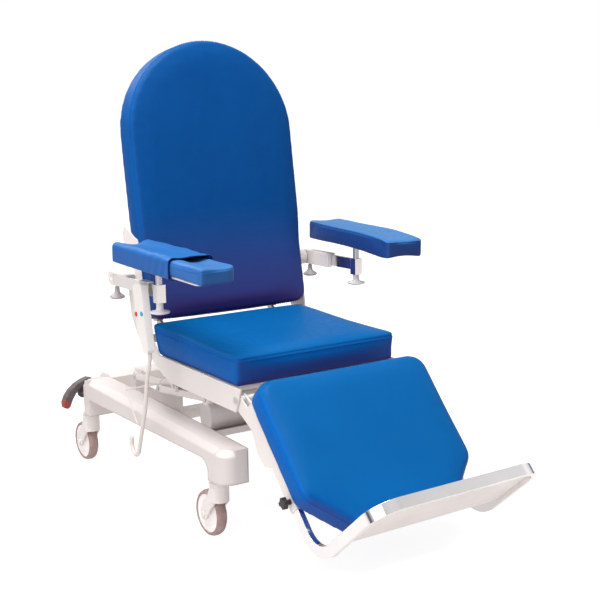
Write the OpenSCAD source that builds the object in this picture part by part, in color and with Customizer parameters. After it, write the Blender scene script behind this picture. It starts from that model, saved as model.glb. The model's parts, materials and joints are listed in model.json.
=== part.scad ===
// Patient recliner chair for treatment rooms: lifting seat, reclining back,
// rising leg rest with sliding foot loop, adjustable arm pads, four casters.
// Frame: +Z up, -Y is the foot end (front), +X is the occupant's left.
// "Left" in names is the -X side, as seen when facing the chair from its foot end.
// Origin: on the floor, midway between the four wheels.

/* [Seat] */
// Width of the seat cushion
seat_w = 520; // [480:5:540]
// Length of the seat cushion
seat_l = 471; // [440:1:480]
// Thickness of the seat cushion
seat_t = 80; // [70:1:84]
// Height of the rear top edge of the seat cushion
seat_z = 511; // [509:1:520]

/* [Backrest] */
// Width of the back cushion
back_w = 543; // [500:1:543]
// Straight length of the back cushion below its round top
back_l = 522; // [450:1:560]
// Thickness of the back cushion
back_t = 80; // [60:1:80]
// Lean of the backrest from upright, in degrees
back_lean = 8.7; // [5:0.1:9]

/* [Leg rest] */
// Slope of the leg rest below horizontal, in degrees
leg_slope = 48.44; // [48:0.01:49]
// Length of the leg cushion
leg_l = 420; // [380:1:425]
// Thickness of the leg cushion
leg_t = 65.5; // [50:0.5:65.5]
// Width of the leg cushion
leg_w = 530; // [460:2:532]
// Depth of the foot loop in front of the leg rest origin
loop_n = 212; // [150:1:220]

/* [Arms] */
// Half distance between the two arm rails
arm_x = 349; // [347:1:351]
// Width of the left arm pad, inside its sleeve
pad_w = 115; // [100:1:115]
// Length of the left arm pad
pad_l = 480; // [400:5:480]
// Thickness of the left arm pad
pad_t = 48; // [40:1:50]
// Forward pitch of the left arm pad, in degrees
pad_pitch = 1.7; // [0:0.1:2]
// Width of the right arm pad
pad_wr = 120; // [100:1:120]
// Length of the right arm pad
pad_lr = 500; // [400:5:500]
// Thickness of the right arm pad
pad_tr = 58; // [40:1:60]
// Yaw of the right arm pad, in degrees
pad_yaw = 9; // [4:0.5:9]

/* [Base] */
// Half distance between the wheel centres, side to side
track = 284; // [282:1:286]
// Half distance between the wheel centres, front to rear
base_y = 404.5; // [400:0.5:410]
// Trail of the casters, swivel axis to wheel centre
trail = 45; // [40:1:46]
// Radius of the caster wheels
wheel_r = 62.5; // [60:0.5:62.5]
// Width of the caster wheels
wheel_w = 32; // [26:1:32]

/* [Hidden] */
$fn = 48;

white = [0.95,0.93,0.91];
blue = [0.05,0.38,0.72];
steel = [0.75,0.75,0.77];
dark = [0.2,0.2,0.21];

gap = 0.06;        // running clearance, radial
lift_pin_r = 7;
act_pin_r = 5;     // pins of the three actuators
back_pin_r = 6;
leg_pin_r = 5;
screw_r = 4;       // screws of all the knobs

// Points in the side view are [y, z]
back_pivot = [-30,470];
leg_pivot = [-516,392];
arm_pivot = [33,651];
// lift arms, [rear, front]: a parallelogram
lift_pitch = 180;
lift_low = [[165,314],[165-lift_pitch,314]];
lift_top = [[-133,346],[-133-lift_pitch,346]];
// [inner, outer] x of the lift plates and arms; pins reach pin_end beyond them
base_lug_x = [198,206];
rear_arm_x = [209,219];
front_arm_x = [222,232];
seat_lug_x = [235,243];
pin_end = 3;
// actuators: [fixed end, rod end, x]
back_lever = 130;
leg_lever = 75;
lift_act = [[-130,240], [lift_top[1][0],360], -5];
back_act = [[-440,345], back_pivot+back_lever*[sin(34),-cos(34)], 70];
leg_act = [[-200,345], leg_pivot+leg_lever*[sin(22),-cos(22)], 130];

// ---------- helpers ----------
// 2D (y,z) extruded along X
module along_x(x_from, x_to) {
  translate([x_from,0,0]) rotate([90,0,90]) linear_extrude(height=x_to-x_from) children();
}
// cylinder along X through the point [y, z]
module rod_x(at, rad, x_from, x_to) {
  translate([x_from,at[0],at[1]]) rotate([0,90,0]) cylinder(r=rad,h=x_to-x_from);
}
module flip() mirror([1,0,0]) children();
module both_sides() {
  children();
  flip() children();
}
// pair of 5 mm cheeks either side of x
module twin_cheeks(x) {
  for (side=[-1,1]) along_x(x+side*15.5-2.5, x+side*15.5+2.5) children();
}
// 2D link between two points, with round ends and optional holes
module link(start, end, width, end_r, hole_r) {
  span = end-start;
  difference() {
    union() {
      translate(start) rotate(atan2(span[1],span[0]))
        translate([0,-width/2]) square([norm(span),width]);
      translate(start) circle(r=end_r);
      translate(end) circle(r=end_r);
    }
    if (hole_r > 0) {
      translate(start) circle(r=hole_r);
      translate(end) circle(r=hole_r);
    }
  }
}
// [radius, z] outline from its upper half, inner point first
function symmetric(half) = concat([for (p=half) [p[0],-p[1]]],
  [for (i=[len(half)-1:-1:0]) half[i]]);
function arc(centre, rad, start, end, steps) =
  [for (i=[0:steps]) let (angle=start+(end-start)*i/steps) centre+rad*[cos(angle),sin(angle)]];

// ---------- base ----------
brake_axis = [-290,222];  // [x, z]
brake_shaft_r = 7;
cross_half = 237.6;       // half length of the lift cross bars

module rail() {
  x_out = -track-32;
  x_in = -track+46;
  x_front = x_out+40;     // centre of the front corner
  x_rear = x_out+60;      // centre of the rear corner
  color(white) difference() {
    intersection() {
      // side view, with the underside hollowed
      along_x(x_out,x_in) difference() {
        polygon([[-524,170],[-524,262],[-330,270],[100,284],[300,287],[385,272],[385,170]]);
        translate([-447,100]) square([742,90]);
        translate([-412,100]) square([707,124]);
        translate([-412,189]) circle(r=35);
      }
      // plan view, with round outer corners
      linear_extrude(height=400) union() {
        translate([x_out,-484]) square([x_in-x_out,809]);
        translate([x_front,-524]) square([x_in-x_front,849]);
        translate([x_front,-484]) circle(r=40);
        translate([x_rear,-400]) square([x_in-x_rear,785]);
        translate([x_rear,325]) circle(r=60);
      }
    }
    // softened outer top edge: along the side, then round both corners
    translate([x_out,100,284]) rotate([1.87,0,0]) rotate([0,45,0])
      translate([-12,-800,-12]) cube([24,1000,24]);
    translate([x_front,-484,246.5]) rotate([2.4,0,0]) difference() {
      translate([-60,-60,-1]) cube([60,60,41]);
      translate([0,0,-1]) cylinder(r1=41,r2=24,h=17);
      translate([0,0,-30]) cylinder(r=24,h=80);
    }
    translate([x_rear,325,266.6]) rotate([-10,0,0]) difference() {
      translate([-80,0,-3]) cube([80,80,53]);
      translate([0,0,-3]) cylinder(r1=63,r2=44,h=19);
      translate([0,0,-30]) cylinder(r=44,h=90);
    }
    // caster stem holes and brake shaft hole
    for (i=[0,2]) translate([swivels[i][0],swivels[i][1],150]) cylinder(r=stem_r,h=52);
    translate([brake_axis[0],299,brake_axis[1]]) rotate([-90,0,0])
      cylinder(r=brake_shaft_r+gap,h=110);
  }
}
module base_rail_left() rail();
module base_rail_right() flip() rail();

module base_rear_beam() color(white) along_x(-track+46.5,track-46.5)
  polygon([[300,236],[300,284],[312,292],[360,292],[384,276],[384,236]]);

module lift_base_frame() color(steel) {
  for (y=[-100,130]) translate([-cross_half,y,232]) cube([2*cross_half,40,28]);
  both_sides() along_x(base_lug_x[0],base_lug_x[1]) difference() {
    polygon([[-103,240],[-103,334],[5,334],[50,290],[110,290],[145,334],[188,334],[188,240]]);
    for (at=lift_low) translate(at) circle(r=lift_pin_r+gap);
  }
  twin_cheeks(lift_act[2]) difference() {
    union() {
      polygon([[-130,227],[-130,253],[-98,256],[-98,234]]);
      translate(lift_act[0]) circle(r=13);
    }
    translate(lift_act[0]) circle(r=act_pin_r+gap);
  }
}

// pin through two plates, given their [inner, outer] x
module lift_pin(at, first, last) rod_x(at, lift_pin_r, first[0]-pin_end, last[1]+pin_end);

module lift_lower_pins() color(steel) {
  both_sides() {
    lift_pin(lift_low[0], base_lug_x, rear_arm_x);
    lift_pin(lift_low[1], base_lug_x, front_arm_x);
  }
  rod_x(lift_act[0], act_pin_r, lift_act[2]-19, lift_act[2]+19);
}

// ---------- casters ----------
// [x, y] of the swivel axes: front left, front right, rear left, rear right
swivels = [for (y=[-base_y,base_y], x=[-track,track]) [x,y-trail]];
stem_r = 10;
axle_r = 5;

module fork(i) translate([swivels[i][0],swivels[i][1],0]) color(white) {
  axle = [trail,wheel_r];
  translate([0,0,166]) cylinder(r=stem_r-gap,h=34);
  difference() {
    union() {
      translate([0,0,108]) cylinder(r=26,h=58.5);
      translate([0,0,154]) cylinder(r=27.5,h=8);
      along_x(-24,24) {
        polygon([[-9,150],[-9,112],[-6,100],[8,88],[33,54],[57,54],
          [61,72],[50,92],[38,106],[22,124],[9,150]]);
        translate(axle) circle(r=16);
      }
    }
    rod_x(axle, axle_r, -40, 40);
    // room for the wheel
    rod_x(axle, wheel_r+3.5, -18.5, 18.5);
    translate([-18.5,trail-5,0]) cube([37,80,wheel_r+5]);
    translate([-18.5,-40,0]) cube([37,80,100]);
  }
  // axle bolt, a separate solid held by the two cheeks, and its end caps
  rod_x(axle, axle_r-0.02, -24, 24);
  for (side=[-1,1]) rod_x(axle, 8, side*26-1.95, side*26+1.95);
}
module caster_fork_fl() fork(0);
module caster_fork_fr() fork(1);
module caster_fork_rl() fork(2);
module caster_fork_rr() fork(3);

// spins a 2D [radius, z] outline about the wheel axle of caster i
module wheel_part(i) translate([swivels[i][0],swivels[i][1]+trail,wheel_r])
  rotate([0,90,0]) rotate_extrude() children();

module tyre(i) color([0.45,0.4,0.4]) wheel_part(i) polygon(symmetric([
  [52,wheel_w/2-2],[wheel_r-8,wheel_w/2],[wheel_r-2.5,wheel_w/2-4],[wheel_r,wheel_w/2-11]]));
module caster_tyre_fl() tyre(0);
module caster_tyre_fr() tyre(1);
module caster_tyre_rl() tyre(2);
module caster_tyre_rr() tyre(3);

module hub(i) color(white) wheel_part(i) polygon(symmetric([
  [axle_r+gap,16],[14,16],[16,12],[34,11],[36,9],[38,11],[51.9,12.5]]));
module caster_hub_fl() hub(0);
module caster_hub_fr() hub(1);
module caster_hub_rl() hub(2);
module caster_hub_rr() hub(3);

// outlines are [x, z]
module brake_pedal() color(dark) {
  // curved pedal
  translate([0,422,0]) rotate([90,0,0]) linear_extrude(height=28) polygon([
    [-255,266],[-272,271],[-292,265],[-315,254],[-335,238],[-350,219],[-358,199],
    [-357,183],[-346,180],[-338,186],[-333,199],[-329,208],[-319,224],[-304,239],
    [-288,249],[-272,254],[-262,254]]);
  // web down to the shaft
  translate([0,412,0]) rotate([90,0,0]) linear_extrude(height=10) union() {
    polygon([[-304,226],[-302,241],[-288,252],[-268,256],[-258,252],
      [-262,226],[-274,210],[-300,212]]);
    translate(brake_axis) circle(r=15);
  }
  translate([brake_axis[0],300,brake_axis[1]]) rotate([-90,0,0])
    cylinder(r=brake_shaft_r,h=104);
}

// ---------- lift arms and actuators ----------
module lift_arms(i, range) color(steel) both_sides() along_x(range[0],range[1])
  link(lift_low[i], lift_top[i], 20, 12, lift_pin_r+gap);
module lift_arms_rear() lift_arms(0, rear_arm_x);
module lift_arms_front() lift_arms(1, front_arm_x);

function act_span(act) = act[1]-act[0];
// local frame: fixed end at the origin, +Y towards the rod end
module act_local(act) translate([act[2],act[0][0],act[0][1]])
  rotate([atan2(act_span(act)[1],act_span(act)[0]),0,0]) children();

act_rod_r = 10;
module act_body(act, length) color(dark) act_local(act) difference() {
  union() {
    rod_x([0,0], 11, -12, 12);
    translate([0,18,0]) rotate([-90,0,0]) cylinder(r=20,h=length-18);
    translate([-12,0,-11]) cube([24,20,22]);
  }
  rod_x([0,0], act_pin_r+gap, -30, 30);
  translate([0,30,0]) rotate([-90,0,0]) cylinder(r=act_rod_r+gap,h=length);
}
module act_rod(act, start) color(steel) act_local(act) {
  length = norm(act_span(act));
  translate([0,start,0]) rotate([-90,0,0]) cylinder(r=act_rod_r,h=length-start-4);
  rod_x([length,0], 11, -11, 11);
}
module lift_actuator_body() act_body(lift_act, 180);
module lift_actuator_rod() act_rod(lift_act, 34);
module back_actuator_body() act_body(back_act, 308);
module back_actuator_rod() act_rod(back_act, 190);
module leg_actuator_body() act_body(leg_act, 200);
module leg_actuator_rod() act_rod(leg_act, 95);

// ---------- seat ----------
seat_tilt = 0.93;     // degrees, front edge lower
cross_tube_half = 261.5;

module seat_frame() color(white) {
  for (at=lift_top) rod_x([at[0],400], 12.5, -cross_tube_half, cross_tube_half);
  rod_x([-470,392], 10, -cross_tube_half, cross_tube_half);
  // lugs on the lift arms
  both_sides() for (at=lift_top) along_x(seat_lug_x[0],seat_lug_x[1]) difference() {
    union() {
      translate([at[0]-16,at[1]]) square([32,54]);
      translate(at) circle(r=16);
    }
    translate(at) circle(r=lift_pin_r+gap);
  }
  // actuator brackets
  twin_cheeks(lift_act[2]) translate(lift_act[1]-[12,12]) square([24,44]);
  twin_cheeks(back_act[2]) difference() {
    polygon([[-482,392],[-456,392],[-426,345],[-430,332],[-450,332],[-480,370]]);
    translate(back_act[0]) circle(r=act_pin_r+gap);
  }
  twin_cheeks(leg_act[2]) difference() {
    polygon([[-140,408],[-122,400],[-128,385],[-186,332],[-212,332],[-212,352]]);
    translate(leg_act[0]) circle(r=act_pin_r+gap);
  }
  // hangers and tray of the control box
  along_x(-196,-190) polygon([[-322,392],[-302,392],[-212,332],[-212,313.2],[-262,313.2]]);
  along_x(-48,-42) polygon([[-322,396],[-302,396],[-236,236],[-236,228],[-290,228]]);
  translate([-200,-292,226]) cube([158,104,4]);
  translate([-200,-292,226]) cube([158,4,18]);
}
module seat_side_plates() color(white) both_sides() along_x(262,267) difference() {
  union() {
    polygon([[-515,360],[-541,424],[-97,434],[-55,478],[-10,458],[-30,444],[-60,408],[-150,366]]);
    translate(back_pivot) circle(r=25);
  }
  translate(back_pivot) circle(r=back_pin_r+gap);
  translate(leg_pivot) circle(r=leg_pin_r+gap);
}
// local frame: origin at the rear top edge of the cushion
module seat_local() translate([0,-41,seat_z]) rotate([seat_tilt,0,0]) children();
module seat_board() color("burlywood") seat_local()
  translate([-seat_w/2+10,-seat_l+9,-seat_t-12.5]) cube([seat_w-20,seat_l-55,12]);
module seat_cushion() color(blue) seat_local() along_x(-seat_w/2,seat_w/2)
  polygon([[-seat_l,-seat_t],[-seat_l,-8],[-seat_l+8,0],[-6,0],[0,-8],[-40,-seat_t]]);
module seat_pivot_pins() color(steel) {
  both_sides() {
    lift_pin(lift_top[0], rear_arm_x, seat_lug_x);
    lift_pin(lift_top[1], front_arm_x, seat_lug_x);
    rod_x(back_pivot, back_pin_r, 250, 282);
    rod_x(back_pivot, 10, 282, 285);
    rod_x(leg_pivot, leg_pin_r, 250, 268);
    rod_x(leg_pivot, 8.5, 267.2, 270);
  }
  for (act=[back_act,leg_act]) rod_x(act[0], act_pin_r, act[2]-18, act[2]+18);
}
module control_box() color(white) along_x(-196,-50) union() {
  for (z=[280,264]) translate([-232,z]) circle(r=32);
  translate([-264,264]) square([64,16]);
}
module under_seat_cable() color(steel) {
  translate([-350,-112,250]) rotate([-38.2,0,0]) cylinder(r=2.5,h=110);
  rod_x([-45,336], 2.6, -351, -245);
  translate([-246,-43,334.5]) rotate([52,0,0]) cylinder(r=2.5,h=84);
}

// ---------- back ----------
// local frame: y behind the cushion face, z up the back
back_origin = [-71.6,538.7];
back_offset = back_pivot-back_origin;
back_pivot_local = [back_offset[0]*cos(back_lean)-back_offset[1]*sin(back_lean),
  back_offset[0]*sin(back_lean)+back_offset[1]*cos(back_lean)];
module back_local() translate([0,back_origin[0],back_origin[1]])
  rotate([-back_lean,0,0]) children();

// rounded rectangle with a round top
module back_outline(width, length, corner) union() {
  translate([-width/2,corner]) square([width,length-corner]);
  translate([-width/2+corner,0]) square([width-2*corner,length]);
  for (side=[-1,1]) translate([side*(width/2-corner),corner]) circle(r=corner);
  intersection() {
    translate([0,length]) circle(r=width/2-0.01,$fn=96);
    translate([-width,length-20]) square([2*width,width]);
  }
}
module back_cushion() color(blue) back_local() translate([0,back_t,0]) rotate([90,0,0])
  linear_extrude(height=back_t) translate([0,-14]) back_outline(back_w,back_l+14,38);
module back_board() color("burlywood") back_local() translate([0,92,0]) rotate([90,0,0])
  linear_extrude(height=11.4) translate([0,12]) back_outline(back_w-30,back_l-12,24);
module back_frame() color(white) {
  back_local() {
    both_sides() {
      // side plate on the recline pivot
      along_x(273.5,278.5) difference() {
        union() {
          polygon([[29,226],[104,271],[117,250],[117,10],[84,-60],[30,-56],[29,-20]]);
          translate(back_pivot_local) circle(r=24);
        }
        translate(back_pivot_local) circle(r=back_pin_r+gap);
      }
      // upright, and the rib from it to the pivot tube
      translate([190,93,-16]) cube([20,24,656]);
      along_x(192,200) polygon([[94,-16],[116,-16],[116,-34],[60,-74],[44,-62],[48,-50]]);
    }
    for (z=[30,236]) rod_x([105,z], 11.5, -276, 276);
    rod_x([105,628], 11.5, -200, 200);
  }
  rod_x(back_pivot, 12, -246, 246);
  twin_cheeks(back_act[2]) link(back_pivot, back_act[1], 22, 13, 0);
}

// ---------- leg rest ----------
// local frame: x across, s (second) down the slope, n (third) out of the face
leg_origin = [-620.2,461];
module leg_local() translate([0,leg_origin[0],leg_origin[1]])
  rotate([180+leg_slope,0,0]) mirror([0,0,1]) children();

leg_screw = [290,-83];     // [s, n] of the knob screws
// foot loop, a flat tube: centre lines
loop_deep = 28.28;
loop_thick = 13.88;
loop_x = 252;              // side legs
turn_r = 75;               // bend from down the slope to forwards
turn_at = [375,-7.8];      // its centre, [s, n]
loop_s = turn_at[0]+turn_r;
slide_n = turn_at[1]-turn_r;
corner_r = 63;             // bend into the end bar
corner_x = loop_x-corner_r;
lap = 0.2;                 // overlap of straights and bends

module leg_cushion() color(blue) leg_local() translate([0,0,-leg_t-0.5])
  linear_extrude(height=leg_t+3.5) polygon(concat(
    arc([-leg_w/2+46,38],46,180,270,6), arc([leg_w/2-46,38],46,270,360,6),
    arc([leg_w/2-40,leg_l-126],40,0,45,3), arc([140,leg_l-30],30,50,90,3),
    arc([-140,leg_l-30],30,90,130,3), arc([-leg_w/2+40,leg_l-126],40,135,180,3)));
module leg_frame() color(white) {
  both_sides() {
    // sleeve in which the foot loop slides
    leg_local() difference() {
      along_x(loop_x-9,loop_x+9) translate([20,slide_n-16.2]) square([296,32.4]);
      along_x(loop_x-7,loop_x+7) translate([24,slide_n-14.2]) square([400,28.4]);
      rod_x(leg_screw, screw_r+gap, 258, 264);
    }
    // hinge plate and bush ring on the leg rest pivot
    difference() {
      leg_local() along_x(255.9,261) polygon([[-34,-112],[-34,-136],[0,-144],[75,-118],
        [130,-134],[172,-128],[190,-99],[190,-97.5],[30,-97.5]]);
      rod_x(leg_pivot, leg_pin_r+gap, 200, 300);
    }
    difference() {
      rod_x(leg_pivot, 9, 243, 256);
      rod_x(leg_pivot, leg_pin_r+gap, 200, 300);
    }
    // rib towards the pivot tube
    leg_local() along_x(236,242.5) polygon([[-28,-116],[-8,-132],[74,-98],[60,-82]]);
  }
  rod_x(leg_pivot, 9, -243.2, 243.2);
  for (s=[56,236]) leg_local() along_x(-244,244) translate([s,-98]) square([20,17]);
  twin_cheeks(leg_act[2]) link(leg_pivot, leg_act[1], 18, 12, 0);
}
// quarter ring about Z in the +X +Y quadrant
module quarter_bend(bend_r, radial, axial) intersection() {
  rotate_extrude($fn=64) translate([bend_r-radial/2,-axial/2]) square([radial,axial]);
  translate([0,0,-axial]) cube([200,200,2*axial]);
}
module foot_loop() color(steel) leg_local() union() {
  both_sides() {
    along_x(loop_x-loop_thick/2,loop_x+loop_thick/2) {
      translate([170,slide_n-loop_deep/2]) square([turn_at[0]+lap-170,loop_deep]);
      translate([loop_s-loop_deep/2,turn_at[1]-lap])
        square([loop_deep,loop_n-corner_r-turn_at[1]+2*lap]);
    }
    translate([loop_x,turn_at[0],turn_at[1]]) rotate([0,90,0])
      quarter_bend(turn_r, loop_deep, loop_thick);
    translate([corner_x,loop_s,loop_n-corner_r]) rotate([90,0,0])
      quarter_bend(corner_r, loop_thick, loop_deep);
  }
  along_x(-corner_x-lap,corner_x+lap)
    translate([loop_s-loop_deep/2,loop_n-loop_thick/2]) square([loop_deep,loop_thick]);
}
plate_inset = 7.4;   // plate edge inside the loop centre line
module foot_plate() color([0.97,0.92,0.86]) leg_local() translate([0,loop_s+3,0])
  rotate([90,0,0]) linear_extrude(height=6) intersection() {
    translate([-loop_x+plate_inset,24]) square([2*(loop_x-plate_inset),loop_n-7.2-24]);
    union() {
      translate([-300,0]) square([600,loop_n-corner_r]);
      translate([-corner_x,0]) square([2*corner_x,400]);
      for (side=[-1,1]) translate([side*corner_x,loop_n-corner_r])
        circle(r=corner_r-plate_inset);
    }
  }
module star(rad) union() {
  circle(r=rad*0.72);
  for (angle=[0:90:270]) rotate(angle+20) translate([rad*0.62,0]) circle(r=rad*0.36);
}
module leg_knob() color(dark) leg_local()
  translate([-262,leg_screw[0],leg_screw[1]]) rotate([0,-90,0]) {
    translate([0,0,-2.8]) cylinder(r=screw_r,h=5);
    cylinder(r=7,h=12);
    translate([0,0,11]) linear_extrude(height=13) star(15);
  }
module leg_knob_left() leg_knob();
module leg_knob_right() flip() leg_knob();

// ---------- arms ----------
post_y_left = -274;
post_y_right = -217;
post_r = 9;
tilt_r = 8;                // pivot of the arm sleeves
tilt_screw = [arm_x-11.8,10];
pad_z = 711.5;             // underside of the pads
pad_off_left = [12,-57];   // post to pad centre, [x, y]
pad_off_right = [6,-31.5];

module arm_brackets() color(white) both_sides() {
  rod_x(arm_pivot, 23, 279, 327);
  rod_x(arm_pivot, tilt_r, 320, 342);
}
module arm_sleeve() color([0.93,0.88,0.82]) difference() {
  union() {
    translate([arm_x-18,-98,630]) cube([12.4,arm_pivot[0]+98,43]);
    translate([arm_x-18,-98,668.2]) cube([27,118,4.8]);
    rod_x(arm_pivot, 22, arm_x-18, arm_x-5.6);
  }
  rod_x(arm_pivot, tilt_r+gap, arm_x-40, arm_x+40);
  translate([tilt_screw[0],tilt_screw[1],629]) cylinder(r=screw_r+gap,h=13);
}
module arm_sleeve_right() arm_sleeve();
module arm_sleeve_left() flip() arm_sleeve();

module arm_rail(post_y, rear_y) color(steel) {
  difference() {
    union() {
      translate([arm_x-5,post_y+10,634.4]) cube([10,rear_y-post_y-10,33.4]);
      translate([arm_x-12.5,post_y-12.5,621]) cube([25,25,49]);
    }
    translate([arm_x,post_y,629]) cylinder(r=post_r+gap,h=60);
    translate([arm_x,post_y,600]) cylinder(r=screw_r+gap,h=60);
  }
  // cap screw under the rail, end stop of the slide
  translate([arm_x,rear_y-125,627]) cylinder(r=5.5,h=8);
}
module arm_rail_left() flip() arm_rail(post_y_left,-12);
module arm_rail_right() arm_rail(post_y_right,45);

// knob turned about Z with a screw; profile is [radius, z]
module turned_knob(at, screw_z, screw_h, profile) translate([at[0],at[1],0]) {
  translate([0,0,screw_z]) cylinder(r=screw_r,h=screw_h);
  rotate_extrude() polygon(profile);
}
module clamp_knob(post_y) color([0.9,0.9,0.9]) turned_knob([arm_x,post_y], 612, 16,
  [[0,589],[14,590],[25,593],[27,596],[26,598],[15,600],[10.5,603],[9.5,607],
   [9.5,620.4],[0,620.4]]);
module clamp_knob_left() flip() clamp_knob(post_y_left);
module clamp_knob_right() clamp_knob(post_y_right);
module tilt_knob() color([0.75,0.74,0.74]) turned_knob(tilt_screw, 620, 21,
  [[0,592],[15,592],[20,594],[22,597],[20,601],[12,606],[8.5,610],[7,615],[6.5,626],[0,626]]);
module tilt_knob_right() tilt_knob();
module tilt_knob_left() flip() tilt_knob();

module pad_post(post_y, pitch) color(steel) translate([arm_x,post_y,0]) {
  translate([0,0,637.6]) cylinder(r=post_r,h=71.4);
  translate([0,0,pad_z-0.25]) rotate([pitch,0,0]) translate([0,0,-4.4]) cylinder(r=17,h=4.4);
}
module pad_post_left() flip() pad_post(post_y_left,pad_pitch);
module pad_post_right() pad_post(post_y_right,0);

module pad_outline(width, length, corner=24) union() {
  translate([-width/2+corner,-length/2]) square([width-2*corner,length]);
  translate([-width/2,-length/2+corner]) square([width,length-2*corner]);
  for (x=[-1,1], y=[-1,1])
    translate([x*(width/2-corner),y*(length/2-corner)]) circle(r=corner);
}
module left_pad_local() translate([-arm_x,post_y_left,pad_z]) rotate([pad_pitch,0,0])
  translate(pad_off_left) children();
module arm_pad_left() color(blue) left_pad_local()
  linear_extrude(height=pad_t) pad_outline(pad_w, pad_l);
module arm_pad_right() color(blue) translate([arm_x,post_y_right,pad_z]) rotate(-pad_yaw)
  translate(pad_off_right) linear_extrude(height=pad_tr) pad_outline(pad_wr, pad_lr);
module pad_sleeve_left() color(blue) left_pad_local() difference() {
  translate([-pad_w/2-2.5,-80,-3]) cube([pad_w+5,pad_l/2+76,pad_t+11]);
  translate([-pad_w/2-0.4,-pad_l,-0.4]) cube([pad_w+0.8,2*pad_l,pad_t+0.8]);
  // opening round the post disc
  translate([-pad_off_left[0],-pad_off_left[1],-12]) cylinder(r=26,h=20);
}

// ---------- handset ----------
button_r = 6.4;
button_step = 16.5;   // each button from the middle of the pair
cord_x = -374;
cord_r = 5.4;
cord_path = [[-255,466],[-232,405],[-213,320],[-169,196]];  // [y, z]
joint_r = [6.1,6.1,7];       // balls at the path points after the first
loop_r = 23.5;        // U bend at the lower end of the cord

module handset_local() translate([0,-210,668]) rotate([-9.5,0,0]) children();
// cylinder on a button axis; step is its y from the middle of the pair
module at_button(step, rad, x_from, x_to) rod_x([step+3,-82], rad, x_from, x_to);
module handset_shell() color(white) difference() {
  union() {
    handset_local() along_x(-384.5,-363.5) polygon([[-26,-6],[-20,0],[20,0],[26,-6],
      [26,-128],[4,-186],[-4,-189],[-20,-189],[-26,-182]]);
    // hook
    translate([-360,-232,668.4]) cube([16,44,4]);
    translate([-364.5,-232,655]) cube([6,44,17.4]);
  }
  handset_local() for (side=[-1,1]) at_button(side*button_step, button_r, -385.5, -380.5);
}
module handset_button(step) handset_local() at_button(step, button_r-gap, -386.5, -382.5);
module handset_button_red() color("red") handset_button(button_step);
module handset_button_blue() color("deepskyblue") handset_button(-button_step);

module cord_piece(start, end) translate([cord_x,start[0],start[1]])
  rotate([atan2(end[1]-start[1],end[0]-start[0])-90,0,0]) cylinder(r=cord_r,h=norm(end-start));
module handset_cord() color([0.85,0.8,0.78]) {
  low = cord_path[3];
  handset_local() translate([cord_x,-12,-207]) cylinder(r=7,h=18);
  for (i=[0:2]) {
    cord_piece(cord_path[i], cord_path[i+1]);
    translate([cord_x,cord_path[i+1][0],cord_path[i+1][1]]) sphere(r=joint_r[i]);
  }
  translate([cord_x,low[0]+loop_r,low[1]]) rotate([0,90,0]) intersection() {
    rotate_extrude() translate([loop_r,0]) circle(r=cord_r);
    translate([0,-60,-20]) cube([60,120,40]);
  }
  translate([cord_x,low[0]+2*loop_r,193]) cylinder(r=7.6,h=26);
}

base_rail_left();
base_rail_right();
base_rear_beam();
lift_base_frame();
lift_lower_pins();
caster_fork_fl();
caster_fork_fr();
caster_fork_rl();
caster_fork_rr();
caster_tyre_fl();
caster_tyre_fr();
caster_tyre_rl();
caster_tyre_rr();
caster_hub_fl();
caster_hub_fr();
caster_hub_rl();
caster_hub_rr();
brake_pedal();
lift_arms_rear();
lift_arms_front();
lift_actuator_body();
lift_actuator_rod();
seat_frame();
seat_side_plates();
seat_board();
seat_cushion();
seat_pivot_pins();
control_box();
under_seat_cable();
back_frame();
back_board();
back_cushion();
arm_brackets();
back_actuator_body();
back_actuator_rod();
leg_frame();
leg_cushion();
leg_actuator_body();
leg_actuator_rod();
foot_loop();
foot_plate();
leg_knob_left();
leg_knob_right();
arm_sleeve_left();
arm_sleeve_right();
arm_rail_left();
arm_rail_right();
clamp_knob_left();
clamp_knob_right();
pad_post_left();
pad_post_right();
arm_pad_left();
arm_pad_right();
pad_sleeve_left();
tilt_knob_left();
tilt_knob_right();
handset_shell();
handset_button_red();
handset_button_blue();
handset_cord();
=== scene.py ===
# Reclining chair on a wheeled base: back, seat and leg cushions, two arm pads (the left one with
# a pull-on sleeve) and a hand control on a cord. It faces -Y, its left side is at -X, the floor
# is z = 0. Hard parts come from the CAD pieces; the soft parts and the cord are remade here.
import bpy, bmesh, math, json
import numpy as np
from mathutils import Vector, Matrix, noise
from mathutils.bvhtree import BVHTree


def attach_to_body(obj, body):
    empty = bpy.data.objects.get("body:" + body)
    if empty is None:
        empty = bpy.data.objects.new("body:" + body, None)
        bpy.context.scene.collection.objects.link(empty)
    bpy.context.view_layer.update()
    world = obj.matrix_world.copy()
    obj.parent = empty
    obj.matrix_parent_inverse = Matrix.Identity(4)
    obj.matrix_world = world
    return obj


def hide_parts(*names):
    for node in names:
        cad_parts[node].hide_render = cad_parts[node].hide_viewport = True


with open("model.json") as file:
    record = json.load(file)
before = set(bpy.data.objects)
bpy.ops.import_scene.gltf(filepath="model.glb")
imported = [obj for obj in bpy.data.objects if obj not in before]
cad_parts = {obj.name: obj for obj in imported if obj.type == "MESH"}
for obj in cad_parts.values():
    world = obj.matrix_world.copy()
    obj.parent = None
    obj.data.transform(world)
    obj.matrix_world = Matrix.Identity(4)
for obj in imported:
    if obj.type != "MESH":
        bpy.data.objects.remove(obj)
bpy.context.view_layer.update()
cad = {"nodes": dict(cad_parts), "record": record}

SCENE = bpy.context.scene
NODES = cad["nodes"]


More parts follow.
